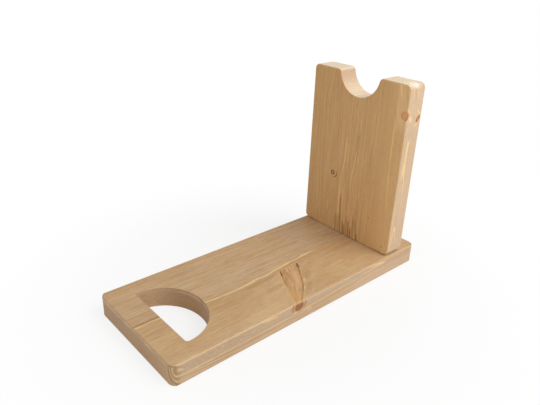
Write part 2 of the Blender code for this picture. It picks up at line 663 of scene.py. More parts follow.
def give(group, **results):
    """Ends a node group with its named results."""
    for label, value in results.items():
        kind = "NodeSocketVector" if value.is_vector else "NodeSocketFloat"
        group.interface.new_socket(name=label, in_out="OUTPUT", socket_type=kind)
    leaving = group.nodes.new("NodeGroupOutput").inputs
    for label, value in results.items():
        join(leaving[label], value)
    return group


def place(group, spot, **values):
    """Puts a group into a material at a spot of the wood, with its own values, and gives its results."""
    node = new_node(spot.tree, "Group", node_tree=group)
    join(node.inputs["Vector"], spot)
    for label, value in values.items():
        join(node.inputs[label.replace("_", " ")], value)
    return {socket.name: Wired(socket) for socket in node.outputs}


def group_branch_knot():
    """A branch that runs out through the wood as a cone, and the way the grain passes round it."""
    group, spot, base, direction, stop, radius, spread, widest, length, halo, bark = new_group(
        "branch knot",
        ("Vector", "Base", "Direction", "Stop Direction"),
        ("Radius", "Spread", "Widest", "Length", "Halo", "Bark"),
    )
    arm = spot - base
    along = calc("DOT_PRODUCT", arm, direction)
    aside = arm - stretch(direction, along)
    size = largest(calc("SMOOTH_MIN", spread * along + radius, widest, 2.0), 0.3)
    share = largest(length_of(aside), 0.001) / size
    ragged = (mottle(spot, 0.3, 0.3, 3.0) - 0.5) * 0.3 + share
    past = calc("DOT_PRODUCT", arm, stop) - length
    begun = fade(along, -2.0, 1.0)
    live = begun * fade(past, 0.3, -0.5)
    near = begun * fade(past, 6.0, -4.0)
    rim = fade((1.0 - ragged) / bark, 1.0, 0.3) * fade((ragged - 1.0) / bark, 0.6, 0.1)
    shells = new_node(group, "CombineXYZ", share * 2.2, along * 0.05).outputs[0]
    pull = calc("EXPONENT", share * share * -0.45) * near
    return give(
        group,
        Core=fade(ragged, 1.05, 0.93) * live,
        Rim=rim * live,
        Halo=fade(ragged, halo, 0.95) * near,
        Layers=mottle(stretch(aside, 2.6 / size) + Wired(shells), 1.0, 1.0, 3.0, 0.6),
        Push=stretch(aside, pull * -0.75),
        Lift=pull * size,
    )


def group_ring_radius():
    """How far a point is from the pith, with the slow waviness of real growth."""
    group, spot, waviness = new_group("ring radius", ["Vector"], ["Waviness"])
    _, across, through = parts_of(spot)
    radius = calc("SQRT", across * across + through * through)
    slow = mottle(spot, 0.016, 0.05, 1.0) - 0.5
    quick = mottle(spot, 0.07, 0.22, 2.0) - 0.5
    wave = (slow * 6.0 + quick * 1.1) * fade(radius, 4.0, 40.0, 0.12, 1.0)
    return give(group, Radius=radius + wave * waviness)


def group_year_rings():
    """The growth rings: stain leaves the hard late wood pale and soaks into the soft wood after it."""
    group, spot, ring, seed, least = new_group("year rings", ["Vector"], ["Ring", "Seed", "Least"])
    draw = new_node(group, "TexWhiteNoise", noise_dimensions="1D")
    join(draw.inputs["W"], calc("FLOOR", ring) + seed)
    luck = Wired(draw.outputs["Value"])
    patchy = fade(mottle(spot, 0.014, 0.16, 1.0), 0.35, 0.62, 0.4, 1.15)
    strength = luck * luck * patchy * (1.0 - least) + least
    share = calc("FRACT", ring)
    return give(
        group,
        Pale=fade(share, 0.5, 0.88) * fade(share, 1.0, 0.92) * strength,
        Dark=fade(share, 0.0, 0.08) * fade(share, 0.42, 0.12) * strength,
    )


def group_fibres():
    """Fine lengthwise fibres, broader bands, soft blotches and the short brown resin canals."""
    group, spot = new_group("fibres", ["Vector"])
    return give(
        group,
        Fine=mottle(spot, 0.14, 1.35, 3.0, 0.62),
        Long=mottle(spot, 0.022, 0.9),
        Broad=mottle(spot, 0.014, 0.3),
        Canals=fade(mottle(spot, 0.22, 2.3, 1.0), 0.66, 0.76),
        Blotches=fade(mottle(spot, 0.026, 0.06, 3.0), 0.34, 0.66),
    )


def group_streak():
    """One pointed and gently bent streak in the wood, such as resin or a short dark line."""
    group, spot, centre, direction, bend, half_length, half_width, rough, ragged = new_group(
        "streak",
        ("Vector", "Centre", "Direction", "Bend"),
        ("Half Length", "Half Width", "Rough", "Ragged"),
    )
    arm = spot - centre
    along = calc("DOT_PRODUCT", arm, direction)
    run = along / half_length
    taper = largest(1.0 - run * run, 0.0)
    spine = stretch(direction, along) + stretch(bend, taper)
    width = calc("SQRT", taper) * half_width + 0.0001
    share = rough * ragged + length_of(arm - spine) / width
    return give(group, Mask=fade(share, 1.1, 0.4) * fade(taper, 0.0, 0.3))


def group_sanded_edges():
    """Where two faces of a board meet, and sanding went through the stain."""
    group, spot, centre, half, reach, posts, arrises, cut_ends = new_group(
        "sanded edges",
        ("Vector", "Centre", "Half Size", "Reach"),
        ("Posts", "Arrises", "Cut Ends"),
    )
    patchy = mottle(spot, 0.3, 0.3, 3.0, 0.65)
    room = parts_of(half - abs(spot - centre))
    limits = parts_of(stretch(reach, fade(patchy, 0.3, 0.7, 0.45, 1.25)))
    x, y, z = [fade(gap, limit, 0.0) for gap, limit in zip(room, limits)]
    most = largest(x * y * posts, y * z * arrises, z * x * cut_ends)
    return give(group, Mask=most * fade(patchy, 0.32, 0.6, 0.25, 1.0))


branch_knot = group_branch_knot()
ring_radius = group_ring_radius()
year_rings = group_year_rings()
fibres = group_fibres()
streak = group_streak()
sanded_edges = group_sanded_edges()


def new_material(name):
    """A material with its node tree and main shader."""
    material = bpy.data.materials.new(name)
    material.use_nodes = True
    tree = material.node_tree
    return material, tree, tree.nodes["Principled BSDF"]


def grain_space(tree, turn):
    """Places in millimetres, and normals, turned so that the grain runs along the first axis."""
    coordinates = tree.nodes.new("ShaderNodeTexCoord").outputs
    answers = []
    for source, scale in (("Object", 1 / MM), ("Normal", 1.0)):
        mapping = new_node(tree, "Mapping", Wired(coordinates[source]))
        mapping.inputs["Rotation"].default_value = (0, math.radians(turn), 0)
        mapping.inputs["Scale"].default_value = (scale, scale, scale)
        answers.append(Wired(mapping.outputs[0]))
    return answers


def ring_number(radius, edges, reach):
    """The number of the ring at a radius, with its share of that ring after the point."""
    points = [(0.0, 0.0)]
    points += [(edge / reach, number / len(edges)) for number, edge in enumerate(edges, start=1)]
    points.append((1.0, 1.0))
    return curve(radius / reach, points) * float(len(edges))


def unit(start, end):
    """The direction from one point to another."""
    return tuple((Vector(end) - Vector(start)).normalized())


def on_face(axis, level, streaks):
    """Streaks on one face of a board: each pair of measures gets the level of the face along its axis."""
    finished = []
    for *points, width, ragged, strength, paint in streaks:
        spots = [point if len(point) == 3 else (*point[:axis], level, *point[axis:]) for point in points]
        finished.append((*spots, width, ragged, strength, paint))
    return finished


def lay_streaks(colour, spot, streaks):
    """Lays streaks over a colour: two or three points, half width, raggedness, strength and paint."""
    rough = mottle(spot, 0.2, 0.9) - 0.5
    for *points, width, ragged, strength, paint in streaks:
        start = Vector(points[0])
        end = Vector(points[-1])
        centre = (start + end) / 2
        half = (end - start).length / 2
        direction = (end - start).normalized()
        bend = Vector((0, 0, 0))
        if len(points) == 3:
            arm = Vector(points[1]) - centre
            run = arm.dot(direction)
            bend = (arm - run * direction) / (1 - (run / half) ** 2)
        mask = place(
            streak,
            spot,
            Centre=tuple(centre),
            Direction=tuple(direction),
            Bend=tuple(bend),
            Half_Length=half,
            Half_Width=width,
            Rough=rough,
            Ragged=ragged,
        )["Mask"]
        colour = lay(colour, mask, paint, strength)
    return colour


def put_knots(spot, knots):
    """Places the knots of a board, and gives their masks with the summed push and lift of the grain."""
    masks = []
    push = (0.0, 0.0, 0.0)
    lift = 0.0
    for knot in knots:
        direction = unit(knot["base"], knot["through"])
        stop = knot.get("stop", direction)
        mask = place(
            branch_knot, spot, Base=knot["base"], Direction=direction, Stop_Direction=stop, **knot["cone"]
        )
        masks.append(mask)
        push = push + mask["Push"]
        lift = lift + mask["Lift"]
    return masks, push, lift


def lay_knots(wood, colour, knots):
    """Paints the halo, wood and bark rim of each knot, in other paints where the branch is cut across."""
    for knot, mask in zip(knots, wood.knot_masks):
        paints = knot["paints"]
        if "paints_across" in knot:
            lean = calc("DOT_PRODUCT", wood.normal, unit(knot["base"], knot["through"]))
            cut_across = fade(abs(lean), *knot["turn"])
            paints = [tint(cut_across, *pair) for pair in zip(paints, knot["paints_across"])]
        core, layer, halo, rim = paints
        colour = lay(colour, mask["Halo"], halo, knot["halo_strength"])
        colour = lay(colour, mask["Core"], tint(fade(mask["Layers"], 0.38, 0.6), core, layer), 0.92)
        colour = lay(colour, mask["Rim"], rim, knot["rim_strength"])
    return colour


def lay_worn_edges(wood, colour, node, turn, paint, **amounts):
    """Lays the bare wood's paint where the edges of a board's box are sanded through."""
    low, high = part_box(node)
    centre = (low + high) / 2 / MM
    half = (high - low) / 2 / MM
    if turn:
        centre = Vector((centre.z, centre.y, -centre.x))
        half = Vector((half.z, half.y, half.x))
    worn = place(sanded_edges, wood.spot, Centre=tuple(centre), Half_Size=tuple(half), **amounts)
    return lay(colour, worn["Mask"], paint)


def board_wood(name, turn, knots):
    """The wood of a board before its colours: its places, its faces, and the grain round its knots."""
    material, tree, shader = new_material(name)
    wood = SimpleNamespace(material=material, shader=shader)
    wood.spot, wood.normal = grain_space(tree, turn)
    wood.along, wood.across, wood.up = parts_of(wood.spot)
    end_way, side_way, _ = parts_of(wood.normal)
    wood.end_face = fade(abs(end_way), 0.35, 0.95)
    wood.side_face = fade(abs(side_way), 0.4, 0.95)
    wood.knot_masks, push, wood.lift = put_knots(wood.spot, knots)
    wood.pushed = wood.spot + push
    wood.grain = place(fibres, wood.pushed)
    return wood


def fine_relief(shader, height, depth):
    """Turns a height from 0 to 1 into fine relief, of a depth in millimetres."""
    bump = new_node(height.tree, "Bump")
    bump.inputs["Strength"].default_value = 0.5
    bump.inputs["Distance"].default_value = depth * MM
    join(bump.inputs["Height"], height)
    join(shader.inputs["Normal"], Wired(bump.outputs["Normal"]))


def finish_wood(wood, colour):
    """Ends a board's material: satin stain with fine open grain."""
    fine = wood.grain["Fine"]
    join(wood.shader.inputs["Base Color"], colour)
    join(wood.shader.inputs["Roughness"], fade(fine, 0.3, 0.7, 0.5, 0.64))
    wood.shader.inputs["Specular IOR Level"].default_value = 0.35
    fine_relief(wood.shader, wood.rings["Pale"] * 0.2 + fine, 0.09)
    return wood.material


# The base board's wood, in millimetres from the middle of its underside
base_top = 18.0
base_near = -53.0
base_pith_side = (
    (-134, -60.8), (-128, -60.9), (-123, -61.06), (-110, -61.1), (-60, -61.0), (-25, -61.1), (2, -61.5),
    (20, -61.65), (60, -62.08), (75, -62.28), (90, -62.46), (134, -63.0),
)
base_pith_height = (
    (-134, 13.8), (-128, 13.6), (-123, 12.9), (-110, 12.6), (-60, 12.7), (-25, 13.0), (2, 14.0),
    (20, 14.3), (60, 15.3), (75, 15.5), (90, 14.9), (134, 14.4),
)
pith_level = 12.6
base_inner_ring = 9.45
base_reach = 122.0
base_ring_edges = (
    2.0, 4.4, 8.06, 9.75, 12.3, 14.1, 15.6, 17.6, 20.4, 24.0, 28.6, 34.0, 39.6, 45.0, 50.8, 59.0,
    62.6, 66.0, 69.4, 73.0, 76.6, 80.4, 84.4, 88.2, 92.4, 96.6, 101.0, 105.6, 110.4, 115.4,
)
# The pale line along the top: its ring's radius, its lean below the top, its path and its half width
line_radius = 58.0
line_lean = 0.08
line_path = (
    (-133, -2.8), (-127, -2.5), (-121, -1.7), (-113, -2.3), (-80, -6.5), (-60, -8.6), (-44.5, -9.0),
    (-36.6, -8.7), (-28.6, -7.9), (-22.4, -7.3), (-16.8, -7.7), (-10.9, -7.3), (-5.9, -6.6), (0, -5.6),
    (7, -5.1), (13, -4.5), (17, -4.0), (21, -4.2), (26.6, -3.8), (36, -2.6), (46, -2.2), (60, -1.8),
    (92, -1.0), (133, 0.0),
)
line_thickness = (
    (-133, 1.1), (-60, 0.85), (-30, 1.2), (0, 1.3), (15, 1.2), (20, 0.6), (27, 0.65), (33, 1.25), (45, 1.1),
    (54, 0.6), (133, 0.5),
)
# The rings at the near front corner, by radius
corner_rings = (
    (7.5, shade(188, 158, 120)),
    (8.2, shade(172, 138, 100)),
    (8.85, shade(158, 122, 85)),
    (9.4, shade(222, 192, 140)),
    (9.75, shade(212, 180, 130)),
    (10.35, shade(150, 115, 78)),
    (11.1, shade(176, 142, 104)),
    (12.0, shade(216, 185, 136)),
    (12.35, shade(190, 156, 114)),
    (12.8, shade(148, 113, 77)),
    (13.4, shade(154, 119, 83)),
    (13.95, shade(208, 177, 130)),
    (14.5, shade(160, 126, 89)),
    (15.2, shade(208, 178, 136)),
    (15.9, shade(176, 142, 104)),
)
# The end arcs: how far apart, the place that they bend round, and the middle and narrowness of their patch
arcs_spacing = 2.0
arcs_pith = (0.0, 12.0, -10.0)
arcs_middle = (0.0, 22.0, 10.0)
arcs_narrowness = (0.0, 0.07, 0.09)
# The stained wood from the pith outwards, by share of the reach
base_tones = (
    (0.0, shade(194, 164, 136)),
    (0.075, shade(195, 165, 137)),
    (0.09, shade(202, 169, 132)),
    (0.15, shade(202, 167, 122)),
    (0.3, shade(201, 165, 119)),
    (0.42, shade(193, 153, 107)),
    (0.47, shade(192, 153, 108)),
    (0.485, shade(200, 168, 132)),
    (0.7, shade(200, 168, 130)),
    (1.0, shade(194, 158, 116)),
)
pale_wood = shade(226, 194, 138)
orange_wood = shade(212, 162, 102)
brown_wood = shade(150, 112, 74)
dark_bark = shade(112, 78, 62)

# Each knot's paints are its wood, its layers, its halo and its bark rim
base_knots = (
    {
        "base": (-24.6, -63.3, 13.6),
        "through": (9.6, -10.0, 18.6),
        "stop": (0.0, 1.0, 0.0),
        "cone": {"Radius": 2.75, "Spread": 0.105, "Widest": 8.1, "Length": 53.1, "Halo": 1.5, "Bark": 0.13},
        "turn": (0.53, 0.83),
        "paints": (shade(210, 172, 124), shade(190, 146, 100), shade(212, 170, 116), shade(188, 144, 96)),
        "paints_across": (shade(160, 106, 64), shade(144, 92, 54), shade(190, 142, 90), shade(204, 152, 96)),
        "halo_strength": 0.7,
        "rim_strength": 0.6,
    },
)
base_top_streaks = (
    # resin and hard lines
    ((57, -9.8), (74, -8.2), (92, -6.8), 0.9, 0.8, 0.8, orange_wood),
    ((46, -1.5), (70, -1.1), 0.9, 0.8, 0.6, shade(206, 158, 112)),
    ((70, 12.6), (92, 9.2), 0.8, 0.8, 0.5, brown_wood),
    ((-133.4, -2.8, 17.8), (-126, -2.5), 1.5, 0.9, 0.65, shade(220, 184, 112)),
    ((-134, -0.1), (-122, -0.3), (-104, -1.1), 1.5, 0.9, 0.7, shade(140, 104, 64)),
    ((-133, 7.6), (-123, 6.9), 0.9, 0.7, 0.6, shade(206, 154, 94)),
    # soft dark smudges between the front end and the spike knot, the last of them a painted shadow
    ((-40, -13.6), (-26, -13.2), (-8, -12.4), 3.2, 1.8, 0.45, shade(168, 130, 84)),
    ((-30, -27.4), (-18, -26.3), (-8, -25.4), 2.8, 2.0, 0.38, shade(168, 134, 88)),
    # painted shadow: a broad faint darkening behind the pocket
    ((-78, -20.4), (-60, -19.8), (-32, -17.6), 5.6, 2.4, 0.26, shade(168, 128, 82)),
)
base_side_streaks = (
    # a yellow stain on the near edge
    ((-57, -52.6, 17.4), (-50, 16.2), (-39, 15.0), 1.5, 1.4, 0.7, shade(224, 192, 136)),
    # fine lines and flecks low on the near side
    ((-128, 7.5), (-110, 5.9), (-84, 4.4), 0.55, 0.8, 0.6, shade(224, 194, 146)),
    ((-92, 4.8), (-72, 3.7), (-44, 2.7), 0.4, 1.2, 0.45, shade(220, 190, 144)),
    ((-122, 5.6), (-100, 3.8), (-78, 2.8), 0.5, 1.2, 0.45, shade(166, 132, 98)),
    ((-80, 6.4), (-60, 5.6), (-40, 5.2), 0.35, 1.6, 0.5, shade(172, 138, 104)),
    ((-66, 4.4), (-48, 3.9), (-30, 3.8), 0.4, 1.6, 0.4, shade(226, 198, 156)),
    ((-9, 6.4), (-3, 7.4), 0.7, 1.4, 0.6, shade(236, 208, 164)),
    ((-7, 1.7), (1, 2.7), 0.6, 1.4, 0.6, shade(238, 212, 170)),
    # a soft light smudge on the top, along the near edge
    ((-66, -46.4, 18), (-44, -46, 18), (-24, -47.6, 18), 6.4, 2.4, 0.28, shade(224, 188, 136)),
    # a dark patch where the rings reach the top at the near corner
    ((-132.9, -47, 16.9), (-131.4, -50.9, 17), (-128.4, -52.7, 16.9), 0.85, 0.6, 0.6, shade(148, 115, 80)),
    # the ring that parts round the branch end
    ((-22.9, -52.6, 18.2), (-24.6, 14.6), (-23.4, 10.8), 1.9, 0.6, 0.9, shade(180, 132, 90)),
    ((-10.4, -52.6, 17.8), (-11.2, 14.4), (-13.4, 10.8), 1.9, 0.6, 0.85, shade(182, 136, 92)),
    ((-23.6, 10.4), (-20, 9.9), (-16.6, 10.2), 0.9, 0.5, 0.85, shade(232, 200, 142)),
)
# Rings that run out in the near side: upper line, lower line, paint, and where each is filled and lined
base_ring_tips = (
    (
        ((40, 18.6), (60.5, 17.8), (73.5, 17.3), (84, 16.4), (88.4, 15.5), (90.6, 14.9), (134, 14.9)),
        (
            (30, 8.9), (36, 9.0), (42.5, 9.9), (48, 11.2), (61.3, 12.8), (78.7, 13.8), (86, 14.1),
            (90.6, 14.9), (134, 15.2),
        ),
        shade(242, 208, 144),
        (64.0, 88.0),
        (38.0, 62.0, 0.0, 0.7),
    ),
    (
        ((-134, 15.3), (-128.4, 15.2), (-126.6, 14.2), (-124, 12.9), (-118, 12.0)),
        ((-134, 11.8), (-128.4, 12.0), (-124, 12.6), (-118, 12.6)),
        shade(224, 196, 144),
        (-130.4, -127.4),
        (-130.0, -126.0),
    ),
)
base_spike_lines = (
    # the broad brown side of the spike, its light middle and its orange end
    ((0.6, -13), (-5, -24), (-12.4, -38), 2.6, 1.2, 0.55, shade(172, 126, 78)),
    ((9.4, -16), (4, -26), (-3.6, -40), 2.6, 1.0, 0.4, shade(222, 184, 136)),
    ((4.8, -13), (1.6, -21), (-4, -31), 2.8, 1.4, 0.45, shade(174, 132, 84)),
    ((-11, -37), (-13, -44), (-16.6, -51), 3.0, 0.8, 0.65, shade(206, 156, 90)),
    ((-14.6, -39), (-18.4, -45), (-20.4, -50.6), 1.5, 0.6, 0.7, shade(212, 166, 102)),
    # bark at the two upper corners, and the line that joins them
    ((1.6, -8.8), (-0.8, -12.6), (-4.2, -18.4), 0.85, 1.4, 0.85, dark_bark),
    ((-3.6, -17), (-7, -24), (-11, -32), 0.7, 1.2, 0.5, brown_wood),
    ((20.8, -8.6), (18.8, -12), (16.4, -16.6), 1.6, 1.4, 0.8, dark_bark),
    ((-4, -8.8), (8, -7.6), (23, -5.6), 0.5, 1.0, 0.5, shade(158, 120, 80)),
    # the jagged right edge, with a pale rim and smudges outside it
    ((17.4, -14.6), (14, -19.6), (9.4, -26), 0.95, 0.9, 0.75, shade(148, 90, 58)),
    ((10.2, -25.4), (6.4, -30.6), (2, -36.8), 0.9, 1.0, 0.75, shade(152, 100, 64)),
    ((3.2, -34.8), (-1.6, -40.6), (-5.6, -44.6), 1.2, 1.3, 0.75, shade(150, 106, 70)),
    ((-4.6, -43.6), (-9.4, -47.8), (-14.4, -52), 0.6, 0.9, 0.65, shade(158, 114, 76)),
    ((11.8, -27.4), (5.8, -34.4), 0.8, 2.2, 0.85, shade(226, 192, 148)),
    ((3.2, -37.6), (-3, -43.6), 0.8, 2.2, 0.8, shade(224, 190, 146)),
    ((22, -22.4), (8.4, -31), 4.0, 2.6, 0.42, shade(168, 130, 92)),
    ((11, -36.4), (-5.6, -48.6), 3.2, 2.6, 0.4, shade(168, 132, 94)),
    # fine lines that fan out from the upper edge
    ((3.4, -9.4), (-0.4, -17), 0.55, 0.9, 0.7, shade(152, 102, 60)),
    ((5.4, -9.2), (0.8, -18.6), 1.4, 1.2, 0.5, shade(166, 114, 68)),
    ((8, -9.4), (4.4, -16), 0.4, 0.9, 0.6, shade(232, 194, 140)),
    ((9.8, -9.8), (5.6, -17.6), 0.55, 0.9, 0.7, shade(152, 102, 60)),
    ((11.4, -9.4), (8.2, -15), 0.5, 0.9, 0.6, shade(232, 194, 140)),
    ((13.8, -9.2), (11.8, -12.8), 0.5, 1.2, 0.35, shade(160, 110, 68)),
)


def base_radius(wood):
    """Radius of the growth rings, drawn in to the pale line that runs along the top."""
    side = drawn_line(wood.along, base_pith_side)
    height = drawn_line(wood.along, base_pith_height)
    pith = Wired(new_node(side.tree, "CombineXYZ", 0.0, side, height).outputs[0])
    radius = place(ring_radius, wood.pushed - pith, Waviness=0.45)["Radius"] - wood.lift * 0.35
    radius = radius - fade(wood.along, -133.0, -127.0, 0.85, 0.0) * fade(radius, 12.2, 10.4)
    sink = wood.up - pith_level
    radius = radius - sink * sink * fade(radius, 9.6, 13.0, 0.0, 0.012)
    astray = wood.from_line + line_radius - radius
    return radius + astray * fade(abs(wood.from_line), 26.0, 4.0)


def base_ground(wood):
    """The stained wood from the pith outwards, paler beside the pale line, with soft blotches."""
    colour = ramp(wood.radius / base_reach, base_tones)
    paler = fade(wood.along, -85.0, -35.0) * fade(wood.radius, 57.0, 46.0)
    colour = lay(colour, paler, shade(216, 180, 136), 0.5)
    return lay(colour, wood.grain["Blotches"], shade(187, 146, 99), 0.48)


def base_ring_lines(wood, colour):
    """Rings that are bold near the pith on the sides, faint on the top and quiet on the ends."""
    radius = wood.radius
    inner = fade(wood.along, 30.0, 70.0, 0.45, 0.2) * fade(radius, 9.0, 9.6, 0.1, 1.0)
    inner = inner * (wood.edge_face * 0.7 + 0.3)
    bold = inner + (fade(radius, 34.0, 46.0, 0.1, 0.25) - inner) * fade(radius, 13.0, 20.0)
    bold = bold * wood.quiet
    colour = lay(colour, wood.rings["Pale"] * bold, shade(220, 190, 142))
    colour = lay(colour, wood.rings["Dark"] * bold, shade(152, 118, 84))
    innermost = fade(radius, base_inner_ring - 0.75, base_inner_ring - 0.25)
    innermost = innermost * fade(radius, base_inner_ring + 0.5, base_inner_ring + 0.05)
    innermost = innermost * fade(wood.along, 54.0, 34.0) * (1.0 - wood.under_arris * 0.8)
    return lay(colour, innermost, shade(228, 196, 142), 0.85)


def base_fibre_tones(wood, colour):
    """Long streaks in the outer wood, and the light and dark of single fibres."""
    streaky = fade(wood.grain["Long"], 0.42, 0.72) * fade(wood.radius, 52.0, 60.0, 0.3, 0.6)
    colour = lay(colour, streaky, shade(166, 128, 92))
    colour = lay(colour, fade(wood.grain["Fine"], 0.5, 0.72), shade(170, 132, 92), 0.42)
    colour = lay(colour, fade(wood.grain["Fine"], 0.5, 0.3), shade(220, 190, 150), 0.3)
    return lay(colour, fade(wood.grain["Broad"], 0.5, 0.75), shade(214, 182, 138), 0.4)


def base_pale_line(wood, colour):
    """The one broad pale line along the top."""
    uneven = fade(mottle(wood.spot, 0.09, 0.02, 1.0), 0.35, 0.7, 0.75, 1.2)
    thick = drawn_line(wood.along, line_thickness) * uneven
    body = fade(abs(wood.from_line) / thick, 1.15, 0.6) * wood.quiet
    body = body * fade(wood.along, 44.0, 60.0, 1.0, 0.35) * fade(wood.along, -130.0, -106.0, 0.4, 1.0)
    return lay(colour, body, pale_wood, 0.92)


def base_near_side(wood, colour):
    """The greyer strip along the near side, the thin pale line at its arris and its lighter far end."""
    side = wood.side_face
    colour = lay(colour, side, shade(196, 166, 138), 0.3)
    strip = side * fade(wood.radius - wood.under_arris * 1.2, 8.8, 8.4) * fade(wood.along, 90.0, 60.0)
    strip_paint = tint(fade(wood.along, -70.0, 10.0), shade(190, 161, 128), shade(190, 166, 140))
    colour = lay(colour, strip, strip_paint, 0.5)
    flecks = fade(mottle(wood.spot, 0.45, 0.9, 2.0, 0.6), 0.52, 0.66)
    colour = lay(colour, flecks * strip, shade(220, 196, 166), 0.35)
    from_arris = wood.across - wood.up - (base_near - base_top)
    arris_line = fade(from_arris, 1.3, 1.1) * fade(wood.along, -130.0, -127.0)
    arris_line = arris_line * fade(wood.along, -30.0, -24.0, 1.0, 0.3)
    colour = lay(colour, arris_line, shade(226, 195, 145), 0.5)
    far_end = side * fade(wood.along, 20.0, 60.0) * fade(wood.radius, 9.6, 10.6)
    return lay(colour, far_end, shade(222, 194, 164), 0.3)


def base_ring_ends(wood, colour):
    """Rings that run out in the near side: the two lines that meet at the tip, and the fill between."""
    for upper, lower, paint, filled, lined in base_ring_tips:
        high = drawn_line(wood.along, upper)
        low = drawn_line(wood.along, lower)
        gap = (high - low) * 0.5 - abs(wood.up - (high + low) * 0.5)
        edge = fade(abs(gap), 0.6, 0.15) * fade(wood.along, *lined)
        tip = fade(gap, -0.3, 0.2) * largest(fade(wood.along, *filled), edge)
        colour = lay(colour, tip * wood.side_face, paint, 0.9)
    return colour


def base_front_end(wood, colour):
    """The darker sawn ends, with a pale sanded line under the top arris."""
    sawn = wood.end_face * fade(wood.across, -52.0, -22.0, 0.9, 0.7)
    sawn_paint = tint(fade(wood.across, -46.0, -24.0), shade(184, 148, 110), shade(171, 134, 96))
    colour = lay(colour, sawn, sawn_paint)
    sanded = wood.end_face * fade(wood.up, 13.7, 15.0) * fade(wood.up, 17.2, 16.2)
    sanded = sanded * fade(mottle(wood.spot, 0.1, 0.1), 0.35, 0.6, 0.3, 1.0)
    return lay(colour, sanded, shade(216, 188, 150), 0.7)


def base_near_corner(wood, colour):
    """The innermost rings, painted one by one where they come round the near front corner."""
    radius = wood.radius
    corner = wood.edge_face * fade(wood.along, -125.0, -130.0) * fade(wood.up, 17.8, 16.4)
    corner = corner * fade(radius, 7.6, 8.2) * fade(radius, 17.0, 15.4)
    first = corner_rings[0][0]
    last = corner_rings[-1][0]
    stops = [((ring - first) / (last - first), paint) for ring, paint in corner_rings]
    return lay(colour, corner, ramp((radius - first) / (last - first), stops), 0.85)


def base_end_arcs(wood, colour):
    """Ring arcs on the ends, bent round a place under the board."""
    from_pith = length_of((wood.spot - arcs_pith) * (0.0, 1.0, 1.0))
    arcs = place(year_rings, wood.spot, Ring=from_pith / arcs_spacing, Seed=70.0, Least=0.6)
    patch = fade(length_of((wood.spot - arcs_middle) * arcs_narrowness), 1.2, 0.4) * wood.end_face
    colour = lay(colour, arcs["Dark"] * patch, shade(140, 108, 80), 0.8)
    return lay(colour, arcs["Pale"] * patch, shade(186, 154, 122), 0.7)


def base_pine():
    """Stained pine of the base board, cut close to the pith along its near edge."""
    wood = board_wood("base_pine_stained", 0, base_knots)
    wood.from_line = wood.across - drawn_line(wood.along, line_path) + (base_top - wood.up) * line_lean
    wood.radius = base_radius(wood)
    wood.edge_face = largest(wood.side_face, wood.end_face)
    wood.under_arris = wood.side_face * fade(wood.up, 13.5, 15.5)
    wood.quiet = 1.0 - wood.end_face * fade(wood.radius, 13.0, 20.0) * 0.85
    ring = ring_number(wood.radius, base_ring_edges, base_reach)
    least = fade(wood.radius, 13.0, 20.0, 0.95, 0.0)
    wood.rings = place(year_rings, wood.spot, Ring=ring, Seed=3.0, Least=least)

    colour = base_ground(wood)
    for paint_over in (
        base_ring_lines, base_fibre_tones, base_pale_line, base_near_side, base_ring_ends, base_front_end,
        base_near_corner, base_end_arcs,
    ):
        colour = paint_over(wood, colour)
    colour = lay(colour, wood.grain["Canals"], shade(128, 92, 62), 0.3)
    colour = lay_worn_edges(
        wood, colour, "base_board", 0, shade(190, 159, 121),
        Reach=(1.6, 1.6, 3.8), Posts=0.3, Arrises=0.1, Cut_Ends=0.85,
    )
    colour = lay_streaks(colour, wood.spot, on_face(2, base_top, base_top_streaks))
    colour = lay_streaks(colour, wood.spot, on_face(1, base_near, base_side_streaks))
    colour = lay_knots(wood, colour, base_knots)
    colour = lay_streaks(colour, wood.spot, on_face(2, base_top, base_spike_lines))
    return finish_wood(wood, colour)


# The upright's wood, with the grain standing up: its measures are z, y and minus x, in millimetres
upright_front = -92.5
upright_near = -52.0
# Where the pith starts at the foot, and its two drifts as it rises: how far, and from and to which height
upright_pith_low = (0.0, -50.8, -98.0)
upright_pith_drifts = (
    ((0.0, 4.2, -2.0), 10.0, 130.0),
    ((0.0, -3.2, -1.3), 138.0, 172.0),
)
upright_reach = 105.0
upright_ring_edges = (
    2.1, 5.35, 7.6, 9.9, 12.8, 15.2, 18.4, 20.3, 23.4, 25.2, 27.8, 29.3, 31.6, 33.0, 35.2, 37.8,
    39.2, 41.6, 43.0, 45.4, 48.6, 50.0, 52.6, 54.1, 57.6, 59.5, 62.2, 65.9, 67.6, 71.2, 73.0,
    76.8, 80.4, 82.0, 85.8, 89.6, 91.2, 94.6, 98.0,
)
upright_tones = (
    (0.0, shade(220, 186, 146)),
    (0.08, shade(218, 176, 122)),
    (0.2, shade(214, 171, 114)),
    (0.5, shade(212, 167, 112)),
    (1.0, shade(202, 156, 100)),
)
upright_knots = (
    {
        "base": (146.6, -45.0, -100.5),
        "through": (148.6, -49.3, -92.5),
        "cone": {"Radius": 1.6, "Spread": 0.17, "Widest": 9.0, "Length": 14.0, "Halo": 1.8, "Bark": 0.16},
        "paints": (shade(230, 174, 118), shade(208, 150, 96), shade(226, 178, 120), shade(190, 134, 84)),
        "halo_strength": 0.8,
        "rim_strength": 0.5,
    },
    {
        "base": (136.6, -46.0, -100.4),
        "through": (144.3, -52.0, -107.4),
        "cone": {"Radius": 1.3, "Spread": 0.03, "Widest": 9.0, "Length": 20.0, "Halo": 2.0, "Bark": 0.3},
        "paints": (shade(182, 122, 72), shade(160, 102, 58), shade(238, 196, 126), shade(170, 114, 66)),
        "halo_strength": 0.75,
        "rim_strength": 0.6,
    },
    {
        "base": (76.5, 20.6, -99.0),
        "through": (76.7, 21.2, -92.5),
        "cone": {"Radius": 1.8, "Spread": 0.03, "Widest": 9.0, "Length": 12.0, "Halo": 2.2, "Bark": 0.5},
        "paints": (shade(184, 148, 104), shade(176, 136, 90), shade(204, 158, 106), shade(104, 74, 38)),
        "halo_strength": 0.35,
        "rim_strength": 0.95,
    },
)
light_line = shade(236, 192, 124)
foot_lines_and_shade = shade(124, 84, 46)
